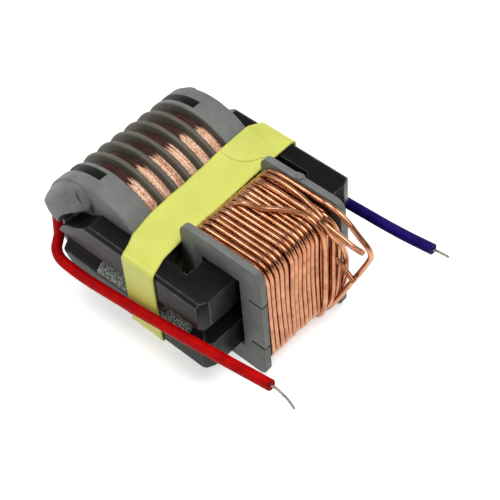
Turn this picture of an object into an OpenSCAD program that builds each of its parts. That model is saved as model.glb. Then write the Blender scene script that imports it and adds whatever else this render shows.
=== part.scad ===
// High voltage transformer: a ferrite U core pair, a slotted secondary, a wire-wound primary and two leads.
// X runs along the winding axes, the secondary is on +Y, and the part stands on Z = 0.

/* [Core] */
// Length of the core over both yokes (X)
core_len = 45; // [42:0.5:52]
// Height of the core (Z)
core_h = 20.4; // [18:0.2:22]
// Thickness of each yoke (X)
yoke_t = 4.8; // [4:0.1:6.5]
// Width of the primary leg (Y)
leg_w = 8; // [6.5:0.1:9]
// Radius of the round secondary leg
leg_r = 7.2; // [5.5:0.1:7.4]
// Distance between the two leg axes (Y)
leg_pitch = 30.5; // [29.5:0.25:36]
// How far the yoke's round end stands out past the round leg
yoke_end_lip = 0.4; // [0.1:0.1:0.6]
// Height of the groove's mouth in the yoke face (Z)
groove_mouth = 6; // [4:0.2:8]
// Height of the groove's floor (Z)
groove_floor = 2.4; // [1:0.2:3.6]
// Depth of the groove
groove_depth = 2.6; // [1.5:0.1:3]
// Length of the yoke's corner chamfer along X
chamfer_x = 2.6; // [1:0.1:3.4]
// Length of the yoke's corner chamfer along Y
chamfer_y = 1.2; // [0.5:0.1:2.5]
// Bevel along the yoke's top and bottom outer edges
edge_bevel = 0.8; // [0.3:0.1:1.4]
// Length of the rough strip in each groove (Y)
pad_len = 26; // [15:0.5:28]
// Thickness of the rough strip
pad_t = 0.8; // [0.4:0.1:1.2]

/* [Secondary] */
// Radius of the bobbin's flanges
flange_r = 15.85; // [15:0.05:16.5]
// Number of winding slots
slot_count = 6; // [3:1:6]
// Distance from one slot to the next (X)
slot_pitch = 3.95; // [3.2:0.05:4]
// Thickness of each flange (X)
flange_t = 1.1; // [0.8:0.1:1.4]
// Rounding of each flange's rim
rim_r = 0.45; // [0.2:0.05:0.5]
// Wall of the bobbin's tube
tube_wall = 1.4; // [1:0.1:1.8]
// Clearance between the round leg and the bobbin's bore
bore_clear = 0.3; // [0.1:0.05:0.5]
// How far the wound copper lies below the flange's rim
coil_below = 1.75; // [1.2:0.05:3]
// How far the middle of a coil stands above its edges
coil_crown = 0.3; // [0.1:0.05:0.4]
// Width of the pocket beside each end block (X)
pocket_w = 2.2; // [1:0.1:3]
// Depth of that pocket
pocket_depth = 3.6; // [2:0.1:4.5]
// How far each lead hood stands out from its end face (X)
hood_len = 4.3; // [3.6:0.1:4.6]
// Wall of each hood round its lead
hood_wall = 2.4; // [1.8:0.1:2.6]
// Radius of the arch that the near hood leaves over the yoke's end
arch_r = 7.8; // [7.4:0.1:8.2]
// How far the collar under the hood stands out (X)
collar_len = 2.4; // [1.5:0.1:2.8]
// Wall of that collar
collar_wall = 0.7; // [0.5:0.1:0.8]

/* [Primary] */
// Width of the end plates (Y)
plate_w = 21.5; // [20:0.25:24]
// Height of the end plates (Z)
plate_h = 31.7; // [30.7:0.25:34]
// Thickness of the end plates (X)
plate_t = 1.5; // [1.2:0.1:2]
// Distance over both end plates (X)
bobbin_len = 25; // [22:0.5:29]
// Corner radius of the end plates
plate_corner_r = 2.4; // [1:0.2:3.5]
// Wall of the rectangular tube
square_wall = 1.2; // [0.8:0.1:1.4]
// Clearance between the primary leg and its tube at the sides (Y)
side_clear = 1; // [0.3:0.1:1.2]
// Clearance between the primary leg and its tube above and below (Z)
top_clear = 0.1; // [0.05:0.05:0.3]
// Length of the slits in the plate edges (Y)
slit_len = 3.6; // [2:0.1:3.8]
// Height of the slits (Z)
slit_h = 0.7; // [0.4:0.1:1.4]
// Diameter of the primary wire
wire_d = 1.2; // [0.8:0.05:1.2]
// Number of turns in the outer layer
turns = 15; // [10:1:15]
// Depth of the inner layers at the sides of the tube (Y)
inner_side = 3; // [2:0.1:3.2]
// How far the outer wire stays below the end plates' edges (Z)
wire_below = 1.53; // [1:0.01:2]
// Corner radius of the inner layers
inner_corner_r = 4.2; // [2:0.1:5]
// How far the loose primary loop stands out past the end plates (Y)
loop_reach = 9; // [9:0.5:12]

/* [Tape and leads] */
// Width of the tape (Y)
tape_w = 10; // [6:0.25:10.25]
// Thickness of the wound tape
tape_t = 0.35; // [0.2:0.05:0.5]
// Diameter of the high voltage leads
lead_d = 2.4; // [1.8:0.1:2.4]
// Diameter of their bare conductors
conductor_d = 0.6; // [0.4:0.05:0.8]
// Clearance round a lead in its hole
lead_clear = 0.1; // [0.05:0.05:0.2]

/* [Hidden] */
$fn = 64;

ferrite = "#2b2c2a";
grit = "#8d9590";
moulding = "#7a7d79";
copper = "#c98a5e";
fine_copper = "#a5643f";
polyester = "#d8dc66";
red_silicone = "#b5080f";
blue_silicone = "#21157a";
tinned = "#b8b3a8";

// A thin gap that keeps neighbouring pieces from sharing a face
fit_gap = 0.05;
// Extra length of a cutter past the face it cuts
over = 1;

// The taller of the flanges and the end plates stands on Z = 0, and every axis is at the same height
z_mid = max(flange_r, plate_h / 2);
half_len = core_len / 2;
half_h = core_h / 2;
core_top = z_mid + half_h;
yoke_in = half_len - yoke_t;

// The two leg axes, placed so that the whole part is centred on Y = 0
y_span = plate_w / 2 + loop_reach + leg_pitch + flange_r;
y_primary = plate_w / 2 + loop_reach - y_span / 2;
y_secondary = y_primary + leg_pitch;
plate_edge = y_primary - plate_w / 2;
yoke_end_r = leg_r + yoke_end_lip;
core_side = y_primary - leg_w / 2;
// Where the rough strip starts, from the primary's axis
pad_start = 1;

// Secondary bobbin
bore_r = leg_r + bore_clear;
tube_r = bore_r + tube_wall;
slots_len = slot_count * slot_pitch - flange_t;
bobbin_half = yoke_in - fit_gap;
coil_r = flange_r - coil_below;
hood_in = yoke_end_r + 2 * bore_clear;
// The hoods as angles above +Y: the near one reaches over the yoke's end, the far one ends beside it
hood_low = 26;
hood_high_near = 88;
hood_high_far = 44;
collar_low = -80;
collar_high = 22;
// The collar's inside is set back a little from the hood's
collar_in = hood_in + 0.15;
pocket_low = 15;
pocket_high = 88;
// Web between the yoke's round end and the lead's hole, and the depth of that hole
hood_web = 0.5;
lead_hole_depth = 6.8;
lead_off = hood_in + hood_web + lead_clear + lead_d / 2;
lead_y = y_secondary + lead_off;
lead_x = bobbin_half + hood_len / 2;
// The hood closes over the end of that hole
hood_r = sqrt(pow(lead_off + lead_clear + lead_d / 2, 2) + pow(lead_hole_depth, 2)) + hood_wall;
// The hood's rounded outside, as [drop below that radius, share of the hood's length]
hood_round = [[0.25, 0], [0.35, 0.25], [0.7, 0.5], [1.3, 0.75], [2, 0.92], [3, 1]];
// The hood's inside clears the yoke's sloped end
roof_in = hood_in + 2 * bore_clear;
// The ball that rounds the hood off, from the secondary's axis and the end face as [x, y, z]
hood_ball = [-4.75, 7.4, 7.75];
hood_ball_r = 9.5;
// The arch over the yoke's end, from the secondary's axis, and the hood's web behind it
arch_y = 0;
arch_z = 2.6;
arch_web = 0.5;

// Primary bobbin and its layers, as half widths (Y) and half heights (Z)
hole_a = leg_w / 2 + side_clear;
hole_b = half_h + top_clear;
tube_a = hole_a + square_wall;
tube_b = hole_b + square_wall;
inner_a = tube_a + inner_side;
// The straight steps of the wire round a corner cut inside the true arc by less than this
lay_gap = 0.12;
inner_b = max(tube_b + lay_gap, plate_h / 2 - wire_below - wire_d - lay_gap);
// The corner radius is limited by the wall that it leaves over the tube's corner
inner_wall = 0.3;
layer_a = inner_a - tube_a;
layer_b = inner_b - tube_b;
inner_corner = min(inner_corner_r, layer_a + layer_b + sqrt(2 * layer_a * layer_b) - inner_wall);
wire_a = inner_a + wire_d / 2 + lay_gap;
wire_b = inner_b + wire_d / 2 + lay_gap;
wire_corner_r = inner_corner + wire_d / 2 + lay_gap;
wind_len = bobbin_len - 2 * plate_t;
wire_pitch = (wind_len - wire_d - 4 * fit_gap) / turns;
// Slits in the plate edges, from the mid height
slit_below = 6.9;
slit_above = 6.2;
slit_heights = [z_mid - slit_below, z_mid + slit_above];

// The tape lies on the yokes and is pushed up where it climbs the secondary's flanges
tape_right = y_primary + plate_w / 2 + 4 * fit_gap;
tape_left = tape_right + tape_w;
// How far the flanges push the tape up at a given Y
function flange_push(y) =
    max(0, sqrt(max(0, pow(flange_r, 2) - pow(y_secondary - y, 2))) + 3 * fit_gap - half_h);
tape_climb = flange_push(tape_left);
// The tape is stretched straight up to its left edge, unless the flanges stand higher on the way
function tape_rise(share) = max(share * tape_climb, flange_push(tape_right + share * tape_w));

// Points of a quarter turn or any arc, as [y, z]
function arc(cy, cz, r, a0, a1, steps) =
    [for (i = [0:steps]) let (a = a0 + (a1 - a0) * i / steps) [cy + r * cos(a), cz + r * sin(a)]];

// Stations of a wire in each corner of its lap
corner_stations = 5;

// Station i of a wire wound round a rectangle of half sizes a and b with corner radius r, as [y, z, ny, nz]
function lap_station(i, a, b, r) =
    let (corner = floor(i / corner_stations) % 4,
         w = 90 * corner + 90 * (i % corner_stations) / (corner_stations - 1),
         sy = corner == 0 || corner == 3 ? 1 : -1,
         sz = corner < 2 ? 1 : -1)
    [sy * (a - r) + r * cos(w), sz * (b - r) + r * sin(w), cos(w), sin(w)];

// A smooth curve through hand-chosen points, with the given number of steps between them
function spline(p, steps) =
    let (n = len(p))
    concat(
        [for (i = [0:n - 2], k = [0:steps - 1])
            let (a = p[max(i - 1, 0)], b = p[i], c = p[i + 1], d = p[min(i + 2, n - 1)], t = k / steps)
            b + t / 2 * (c - a) + t * t * (a - 2.5 * b + 2 * c - d / 2)
              + t * t * t * (1.5 * (b - c) + (d - a) / 2)],
        [p[n - 1]]);

function unit(v) = v / norm(v);

// Faces of a closed tube of rings rings with sides points each
function tube_faces(rings, sides) = concat(
    [[for (k = [0:sides - 1]) k]],
    [for (i = [0:rings - 2], k = [0:sides - 1]) let (m = (k + 1) % sides)
        [i * sides + k, (i + 1) * sides + k, (i + 1) * sides + m]],
    [for (i = [0:rings - 2], k = [0:sides - 1]) let (m = (k + 1) % sides)
        [i * sides + k, (i + 1) * sides + m, i * sides + m]],
    [[for (k = [sides - 1:-1:0]) (rings - 1) * sides + k]]);

// A round wire along a list of points that never run along X
module wire(path, d, sides = 8) {
    n = len(path);
    points = [for (i = [0:n - 1])
        let (t = unit(path[min(i + 1, n - 1)] - path[max(i - 1, 0)]),
             u = unit(cross(t, [1, 0, 0])),
             w = cross(t, u))
        for (k = [0:sides - 1])
            path[i] + d / 2 * (cos(360 * k / sides) * u + sin(360 * k / sides) * w)];
    polyhedron(points, tube_faces(n, sides), convexity = 10);
}

// A flat outline drawn in [y, z] and carried along X
module along_x(x0, length) {
    translate([x0, 0, 0]) rotate([90, 0, 90]) linear_extrude(length) children();
}

// A profile drawn in [radius, x] and turned about the secondary's axis from one angle to another
module turned(from = 0, to = 360) {
    translate([0, y_secondary, z_mid]) rotate([0, 90, 0]) rotate([0, 0, 90 + from])
        rotate_extrude(angle = to - from) children();
}

// A rectangle with true round corners, centred on [y, z] = [cy, cz]
module round_plate(cy, cz, a, b, r) {
    translate([cy, cz]) {
        square([2 * a, 2 * (b - r)], center = true);
        square([2 * (a - r), 2 * b], center = true);
        for (sy = [-1, 1], sz = [-1, 1])
            translate([sy * (a - r), sz * (b - r)]) circle(r);
    }
}

// Core
module yoke_outline() {
    polygon(concat(
        [[core_side, z_mid - half_h], [y_secondary - yoke_end_r / 3, z_mid - half_h]],
        arc(y_secondary, z_mid, yoke_end_r, -80, 80, 24),
        [[y_secondary - yoke_end_r / 3, z_mid + half_h], [core_side, z_mid + half_h]]));
}

// The groove's section as [depth, z], from the face inwards
function groove_section() = [
    [-over, -groove_mouth / 2 - over * (groove_mouth - groove_floor) / 2 / groove_depth],
    [groove_depth, -groove_floor / 2], [groove_depth, groove_floor / 2],
    [-over, groove_mouth / 2 + over * (groove_mouth - groove_floor) / 2 / groove_depth]];

module core_half() {
    difference() {
        union() {
            along_x(yoke_in, yoke_t) yoke_outline();
            translate([0, core_side, z_mid - half_h]) cube([half_len - yoke_t / 2, leg_w, core_h]);
            along_x(0, half_len - yoke_t / 2) translate([y_secondary, z_mid]) circle(leg_r);
        }
        // Groove across the yoke's outer face, with the depth pointing to -X
        translate([half_len, y_secondary + 2 * leg_r, z_mid]) rotate([90, 0, 0])
            linear_extrude(leg_pitch + leg_w + 3 * leg_r)
                polygon([for (p = groove_section()) [-p[0], p[1]]]);
        // Groove along the outer side of the primary leg, with the depth pointing to +Y
        translate([0, core_side, z_mid]) along_x(-over, half_len + 2 * over)
            polygon(groove_section());
        // Chamfer on the yoke's corner beside the primary
        translate([0, 0, z_mid - half_h - over]) linear_extrude(core_h + 2 * over)
            polygon([[half_len - chamfer_x, core_side], [half_len, core_side + chamfer_y],
                     [half_len + over, core_side + chamfer_y], [half_len + over, core_side - over],
                     [half_len - chamfer_x, core_side - over]]);
        // Bevels along the yoke's top and bottom outer edges
        for (s = [-1, 1])
            translate([half_len, y_secondary + 2 * leg_r, z_mid + s * half_h]) rotate([90, 0, 0])
                linear_extrude(leg_pitch + leg_w + 3 * leg_r)
                    polygon([[-edge_bevel, s * over], [-edge_bevel, 0], [0, -s * edge_bevel],
                             [over, -s * edge_bevel], [over, s * over]]);
    }
}

module core_far() { color(ferrite) core_half(); }
module core_near() { color(ferrite) mirror([1, 0, 0]) core_half(); }

// Rough strip that lies on the groove's lower wall
module groove_pad() {
    slope = (groove_mouth - groove_floor) / 2 / groove_depth;
    foot = groove_depth - fit_gap;
    rise = pad_t * sqrt(1 + slope * slope);
    translate([half_len, y_primary + pad_start + pad_len, z_mid]) rotate([90, 0, 0]) linear_extrude(pad_len)
        polygon([for (p = [[fit_gap, 0], [foot, 0], [foot, rise], [fit_gap, rise]])
            [-p[0], -groove_mouth / 2 + fit_gap + slope * p[0] + p[1]]]);
}

module groove_pad_far() { color(grit) groove_pad(); }
module groove_pad_near() { color(grit) mirror([1, 0, 0]) groove_pad(); }

// Secondary
// The rounding at a rim's corner as [radius, x], on the way out and on the way in
rim_step = 30;
function rim_out(x) =
    [for (w = [0:rim_step:90]) [flange_r - rim_r + rim_r * sin(w), x + rim_r - rim_r * cos(w)]];
function rim_in(x) =
    [for (w = [90:-rim_step:0]) [flange_r - rim_r + rim_r * sin(w), x - rim_r + rim_r * cos(w)]];

// The comb of flanges as [radius, x]
function comb() = concat(
    [[bore_r, -bobbin_half]],
    rim_out(-bobbin_half),
    [for (i = [0:slot_count - 1])
        let (a = -slots_len / 2 + i * slot_pitch, b = a + slot_pitch - flange_t)
        each concat(rim_in(a), [[tube_r, a], [tube_r, b]], rim_out(b))],
    rim_in(bobbin_half),
    [[bore_r, bobbin_half]]);

// Hood that a lead comes out of, a rounded sector on the end block, and the collar under it
module lead_hood(high) {
    difference() {
        intersection() {
            turned(hood_low, high)
                polygon(concat(
                    [[roof_in, bobbin_half - over], [hood_r - hood_round[0][0], bobbin_half - over]],
                    [for (p = hood_round) [hood_r - p[0], bobbin_half + p[1] * hood_len]],
                    [[roof_in, bobbin_half + hood_len]]));
            translate([bobbin_half + hood_ball[0], y_secondary + hood_ball[1], z_mid + hood_ball[2]])
                sphere(hood_ball_r);
        }
        along_x(bobbin_half + arch_web, hood_len)
            translate([y_secondary + arch_y, z_mid + arch_z]) circle(arch_r);
    }
    turned(collar_low, collar_high)
        translate([collar_in, bobbin_half - over]) square([collar_wall, collar_len + over]);
}

module lead_hole() {
    translate([lead_x, lead_y, z_mid]) cylinder(d = lead_d + 2 * lead_clear, h = lead_hole_depth);
}

module end_pocket() {
    turned(pocket_low, pocket_high)
        translate([flange_r - pocket_depth, slots_len / 2 + flange_t])
            square([pocket_depth + over, pocket_w]);
}

module secondary_bobbin() {
    color(moulding) difference() {
        union() {
            turned() polygon(comb());
            mirror([1, 0, 0]) lead_hood(hood_high_near);
            lead_hood(hood_high_far);
        }
        for (side = [0, 1]) mirror([side, 0, 0]) {
            lead_hole();
            end_pocket();
        }
    }
}

// Fine-wire winding in slot i, slightly crowned
module secondary_coil(i) {
    x0 = -slots_len / 2 + (i - 1) * slot_pitch;
    w = slot_pitch - flange_t;
    color(fine_copper) turned()
        polygon([[tube_r, x0], [coil_r - coil_crown, x0], [coil_r - coil_crown / 4, x0 + w / 4],
                 [coil_r, x0 + w / 2], [coil_r - coil_crown / 4, x0 + 3 * w / 4],
                 [coil_r - coil_crown, x0 + w], [tube_r, x0 + w]]);
}

// Primary
module plate(x0) {
    difference() {
        along_x(x0, plate_t) translate([y_primary - plate_w / 2, 0]) {
            round_plate(plate_w / 2, z_mid, plate_w / 2, plate_h / 2, plate_corner_r);
        }
        for (z = slit_heights)
            translate([x0 - over, plate_edge - over, z - slit_h / 2])
                cube([plate_t + 2 * over, slit_len + over, slit_h]);
    }
}

module primary_bobbin() {
    color(moulding) difference() {
        union() {
            plate(-bobbin_len / 2);
            plate(bobbin_len / 2 - plate_t);
            translate([-wind_len / 2 - plate_t / 2, y_primary - tube_a, z_mid - tube_b])
                cube([wind_len + plate_t, 2 * tube_a, 2 * tube_b]);
        }
        translate([-bobbin_len, y_primary - hole_a, z_mid - hole_b])
            cube([2 * bobbin_len, 2 * hole_a, 2 * hole_b]);
    }
}

module primary_inner_layers() {
    color(fine_copper) along_x(-wind_len / 2 + fit_gap, wind_len - 2 * fit_gap) difference() {
        round_plate(y_primary, z_mid, inner_a, inner_b, inner_corner);
        translate([y_primary - tube_a, z_mid - tube_b]) square([2 * tube_a, 2 * tube_b]);
    }
}

// Outer layer: one wire wound round and round, a little further along X on each turn
module primary_winding() {
    steps = 4 * corner_stations;
    sides = 6;
    rings = turns * steps + 1;
    x0 = -wind_len / 2 + wire_d / 2 + 2 * fit_gap;
    points = [for (i = [0:rings - 1])
        let (q = lap_station(i, wire_a, wire_b, wire_corner_r))
        for (k = [0:sides - 1])
            let (c = wire_d / 2 * cos(360 * k / sides), s = wire_d / 2 * sin(360 * k / sides))
            [x0 + wire_pitch * i / steps + s, y_primary + q[0] + c * q[2], z_mid + q[1] + c * q[3]]];
    color(copper) polyhedron(points, tube_faces(rings, sides), convexity = 20);
}

// Loose ends of the primary: routes chosen by hand, measured from the far plate's edge at the core's mid height
function from_edge(points) = [for (p = points) [p[0], plate_edge + p[1], z_mid + p[2]]];

// Height of a wire that lies on top of the outer layer, and the furthest point of the loose loop's middle line
top_lay = wire_b + wire_d + 2 * fit_gap;
loop_end = wire_d / 2 - loop_reach;
cross_route = [[0.2, 15.4, top_lay], [1.3, 12.1, top_lay], [3.3, 9.2, top_lay], [5, 5.8, top_lay],
               [5.4, 2.6, top_lay - 0.72], [5.4, 0.3, top_lay - 3.02], [5.4, -0.5, top_lay - 6.22],
               [5.4, -0.5, top_lay - 12.02]];
loop_route = [[10.3, 4.6, top_lay + 0.03], [10.2, 2.4, top_lay + 0.28], [10, -0.2, top_lay + 0.08],
              [10, -3, top_lay - 1.32], [10, -6, top_lay - 3.72], [10, loop_end, top_lay - 5.62],
              [10, -8, top_lay - 8.62], [9.9, -6.2, 2.2], [9.7, -4.2, -2.2], [9.2, -1.9, 7.62 - top_lay],
              [8.2, -0.4, 4.22 - top_lay], [7.2, 1.1, 1.82 - top_lay], [6.2, 3.6, 0.22 - top_lay],
              [5.4, 6.8, -0.08 - top_lay]];
start_route = [[8.8, 9.8, top_lay], [8.2, 6, top_lay], [7.7, 2.6, top_lay - 0.62],
               [7.5, 0.6, top_lay - 2.12], [7.7, -3, top_lay - 3.22], [7.9, -5.3, top_lay - 4.12],
               [8, -8.2, top_lay - 4.32]];
stub_route = [[7.2, -0.5, 4.6], [7.4, -0.9, 3.4], [7.8, -2.6, 2], [8.1, -4.6, 0.6], [8.2, -5.6, -0.3]];

module primary_cross_wire() { color(copper) wire(spline(from_edge(cross_route), 3), wire_d); }
module primary_loop() { color(copper) wire(spline(from_edge(loop_route), 3), wire_d); }
module primary_start_tail() { color(copper) wire(spline(from_edge(start_route), 2), wire_d); }
module primary_tap_stub() { color(copper) wire(spline(from_edge(stub_route), 2), wire_d); }

// Tape
// Stations round one half of the loop as [x, z from the middle, share of the climb]
function tape_half() =
    let (g = fit_gap, c = edge_bevel)
    [[0, half_h + g, 1], [bobbin_half / 2, half_h + g, 1], [bobbin_half + g, half_h + g, 1],
     [half_len - c, half_h + g, 0.12], [half_len + g, half_h - c, 0], [half_len + g, 0, 0]];

function tape_loop() =
    let (q = tape_half(), n = len(q))
    concat(q,
        [for (i = [n - 2:-1:0]) [q[i][0], -q[i][1], q[i][2]]],
        [for (i = [1:n - 1]) [-q[i][0], -q[i][1], q[i][2]]],
        [for (i = [n - 2:-1:1]) [-q[i][0], q[i][1], q[i][2]]]);

module core_tape() {
    loop = tape_loop();
    n = len(loop);
    across = 8;
    row = across + 1;
    points = [for (i = [0:n - 1])
        let (p = loop[i], a = loop[(i + n - 1) % n], b = loop[(i + 1) % n],
             t = unit([b[0] - a[0], b[1] - a[1]]), out = [-t[1], t[0]], up = p[1] < 0 ? -1 : 1)
        for (layer = [0, 1], j = [0:across])
            let (share = j / across)
            [p[0] + layer * tape_t * out[0], tape_right + share * tape_w,
             z_mid + p[1] + up * p[2] * tape_rise(share) + layer * tape_t * out[1]]];
    // Corner j of station i on the inner (0) or outer (1) side
    function at(i, layer, j) = (i % n) * 2 * row + layer * row + j;
    faces = [for (i = [0:n - 1]) each concat(
        [for (j = [0:across - 1]) each [
            [at(i, 1, j), at(i + 1, 1, j), at(i + 1, 1, j + 1)],
            [at(i, 1, j), at(i + 1, 1, j + 1), at(i, 1, j + 1)],
            [at(i, 0, j), at(i + 1, 0, j + 1), at(i + 1, 0, j)],
            [at(i, 0, j), at(i, 0, j + 1), at(i + 1, 0, j + 1)]]],
        [[at(i, 0, 0), at(i + 1, 0, 0), at(i + 1, 1, 0)],
         [at(i, 0, 0), at(i + 1, 1, 0), at(i, 1, 0)],
         [at(i, 0, across), at(i + 1, 1, across), at(i + 1, 0, across)],
         [at(i, 0, across), at(i, 1, across), at(i + 1, 1, across)]])];
    color(polyester) polyhedron(points, [for (f = faces) [f[0], f[2], f[1]]], convexity = 10);
}

// Leads
// Routes chosen by hand as [x, y, z]: down out of the hood, round the collar and along the yoke's face
red_route = [[-19.8, 27.2, 22.4], [-19.8, 27.2, 20.4], [-20, 27.5, 18], [-20.2, 27.6, 15.6],
             [-20.6, 27.5, 13.4],
             [-21.7, 27, 12.3], [-23, 26, 11.8], [-24, 24, 11.4], [-24.3, 21, 11.2], [-24.3, 16, 11.2],
             [-24.3, 11, 11.8], [-24.3, 5, 12.8], [-24.3, -1, 13.8], [-24.3, -7, 15], [-24.3, -13, 16.2],
             [-24.3, -19, 17.5], [-24.3, -25, 18.8], [-24.3, -31, 20.2], [-24.3, -37, 21.6]];
red_bare = [[-24.3, -37.1, 21.62], [-24.3, -39, 21.8], [-24.2, -41, 20.8], [-24, -42.5, 18.8]];
blue_route = [[19.8, 27.2, 22.4], [19.8, 27.2, 20.4], [20, 27.5, 18], [20.2, 27.6, 15.6],
              [20.6, 27.5, 13.4], [21.7, 27, 12.3], [23, 26, 11.8], [24, 24, 11.6], [24.3, 21, 11.6], [24.3, 16, 12], [24.3, 11, 12.6],
              [24.3, 5, 13.3], [24.3, -1, 13.9], [24.3, -7, 14.4], [24.3, -13, 14.7], [24.3, -19, 15],
              [24.3, -25, 15.3], [24.3, -31, 15.9], [24.3, -37, 16.8]];
blue_bare = [[24.3, -37.1, 16.82], [24.3, -38.5, 17.1], [24.3, -41, 17.4]];

module red_lead() { color(red_silicone) wire(spline(red_route, 2), lead_d); }
module red_conductor() { color(tinned) wire(spline(red_bare, 3), conductor_d); }
module blue_lead() { color(blue_silicone) wire(spline(blue_route, 2), lead_d); }
module blue_conductor() { color(tinned) wire(spline(blue_bare, 3), conductor_d); }

core_near();
core_far();
groove_pad_near();
groove_pad_far();
secondary_bobbin();
for (i = [1:slot_count])
    secondary_coil(i);
primary_bobbin();
primary_inner_layers();
primary_winding();
primary_cross_wire();
primary_loop();
primary_start_tail();
primary_tap_stub();
core_tape();
red_lead();
red_conductor();
blue_lead();
blue_conductor();
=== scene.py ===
# %% [markdown]
# # High voltage transformer
# The real object is a pair of ferrite U cores with two windings on them. A round grey bobbin carries
# the fine secondary in six slots, a rectangular bobbin carries the heavy primary, yellow tape holds the
# cores together, and a red and a blue lead bring out the high voltage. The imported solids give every
# place and size. This lesson dresses them: rounded edges, real turns of wire, a film of tape, and a
# material for each.

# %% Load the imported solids
import math

import bmesh
import bpy
import numpy as np
from mathutils import Matrix, Vector


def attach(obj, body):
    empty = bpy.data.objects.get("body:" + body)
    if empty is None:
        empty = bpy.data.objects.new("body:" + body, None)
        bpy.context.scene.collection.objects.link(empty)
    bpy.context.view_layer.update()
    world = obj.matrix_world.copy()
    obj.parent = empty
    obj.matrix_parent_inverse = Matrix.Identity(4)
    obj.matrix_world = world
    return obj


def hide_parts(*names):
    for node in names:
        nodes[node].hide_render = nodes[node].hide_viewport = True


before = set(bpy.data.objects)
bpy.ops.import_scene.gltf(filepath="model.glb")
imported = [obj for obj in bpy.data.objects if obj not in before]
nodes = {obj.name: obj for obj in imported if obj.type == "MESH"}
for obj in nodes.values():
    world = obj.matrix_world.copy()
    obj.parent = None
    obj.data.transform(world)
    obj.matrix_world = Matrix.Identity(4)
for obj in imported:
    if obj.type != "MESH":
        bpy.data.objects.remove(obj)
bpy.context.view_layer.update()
MM = 0.001

# %% [markdown]
# ## The camera
# A camera can be placed by eye until the picture looks right, or solved from points whose places are known.
# Here the eye, the aim and the roll were solved from about thirty points of the photograph, so the camera
# is written as those numbers. The lens follows from the focal length in pixels over a frame taken as square
# and 500 pixels wide.

# %% Camera at the photograph's angle
EYE = np.array([-131.48, -147.91, 240.11]) * MM
AIM = np.array([2.647, -6.1, 12.65]) * MM
ROLL = math.radians(4.937)
FOCAL_PX = 1438.18
FRAME_PX = 500
SENSOR = 36

back = (EYE - AIM) / np.linalg.norm(EYE - AIM)
level = np.cross([0, 0, 1], back)
level = level / np.linalg.norm(level)
above = np.cross(back, level)
right = math.cos(ROLL) * level - math.sin(ROLL) * above
up = math.sin(ROLL) * level + math.cos(ROLL) * above
camera = bpy.data.objects.new("camera", bpy.data.cameras.new("camera"))
camera.data.sensor_width = SENSOR
camera.data.lens = SENSOR * FOCAL_PX / FRAME_PX
camera.data.clip_start = 10 * MM
camera.matrix_world = Matrix(np.column_stack([right, up, back])).to_4x4()
camera.location = EYE
bpy.context.scene.collection.objects.link(camera)
bpy.context.scene.camera = camera
print("lens in mm:", round(camera.data.lens, 2))

# %% [markdown]
# ## Colours and nodes
# A colour is written as it looks on a screen, in sRGB hex, and one function turns it to the linear
# values that Blender adds and multiplies. One more function adds a shader node: it takes the node's
# inputs and its settings, and an input that is itself a socket is linked. Nodes could be placed one by
# one, but then every material would repeat the same five lines.

# %% Helpers for materials
def paint(hex_code):
    """Linear RGBA of an sRGB hex colour: up to 0.04045 c / 12.92, else ((c + 0.055) / 1.055) ** 2.4."""
    srgb = np.array([int(hex_code[i:i + 2], 16) for i in (1, 3, 5)]) / 255
    linear = np.where(srgb <= 0.04045, srgb / 12.92, ((srgb + 0.055) / 1.055) ** 2.4)
    return (*linear.tolist(), 1.0)


def per_mm(size_mm):
    """Texture scale that gives a pattern of this size in millimetres on coordinates in metres."""
    return 1 / (size_mm * MM)


def add(tree, kind, inputs, **settings):
    """Add a shader node, set its properties, then set each input to a value or link it to a socket."""
    made = tree.nodes.new("ShaderNode" + kind)
    for name, value in settings.items():
        setattr(made, name, value)
    for name, value in inputs.items():
        socket = next((s for s in made.inputs if s.name == name and s.enabled), None) or made.inputs[name]
        if isinstance(value, bpy.types.NodeSocket):
            tree.links.new(value, socket)
        else:
            socket.default_value = value
    return made


def new_material(name):
    """An empty node material, its node tree and its Object coordinates."""
    material = bpy.data.materials.new(name)
    material.use_nodes = True
    tree = material.node_tree
    tree.nodes.clear()
    return material, tree, add(tree, "TexCoord", {}).outputs["Object"]


def ramp(tree, value, stops):
    """A colour ramp over a value, from a list of (position, hex colour)."""
    made = add(tree, "ValToRGB", {"Fac": value})
    elements = made.color_ramp.elements
    while len(elements) < len(stops):
        elements.new(0.5)
    for element, (position, colour) in zip(elements, stops):
        element.position = position
        element.color = paint(colour)
    return made.outputs["Color"]


def weighted(tree, parts):
    """Sum of value times weight over a list of (value, weight)."""
    total = 0.0
    for value, weight in parts:
        total = add(tree, "Math", {0: value, 1: weight, 2: total}, operation="MULTIPLY_ADD").outputs[0]
    return total


print("material helpers ready")

# %% [markdown]
# ## Surfaces from numbers
# Wire, film and lumps are all grids of points: a circle carried along a path, or a section carried
# round a ring. Such a shape could be extruded by hand. Worked out with numpy, it can be bent and made
# uneven by a formula, and one function puts any grid into a mesh, ties it to the part and says which
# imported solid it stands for.

# %% Helpers for meshes
def grid_faces(rows, columns, close_rows=False, close_columns=False):
    """Quads of a grid of points in row order; a closed direction joins its last line to its first."""
    r = np.arange(rows if close_rows else rows - 1)[:, None]
    c = np.arange(columns if close_columns else columns - 1)[None, :]
    r2 = (r + 1) % rows
    c2 = (c + 1) % columns
    quads = np.stack([r * columns + c, r * columns + c2, r2 * columns + c2, r2 * columns + c], axis=-1)
    return quads.reshape(-1, 4)


def new_piece(name, points, faces, material, replaced=()):
    """A smooth mesh of points in millimetres and faces that rides on the part, in place of CAD nodes."""
    mesh = bpy.data.meshes.new(name)
    mesh.from_pydata((np.asarray(points).reshape(-1, 3) * MM).tolist(), [], faces)
    mesh.materials.append(material)
    mesh.polygons.foreach_set("use_smooth", np.ones(len(mesh.polygons), bool))
    piece = bpy.data.objects.new(name, mesh)
    bpy.context.scene.collection.objects.link(piece)
    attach(piece, "root")
    if replaced:
        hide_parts(*replaced)
    return piece


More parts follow.
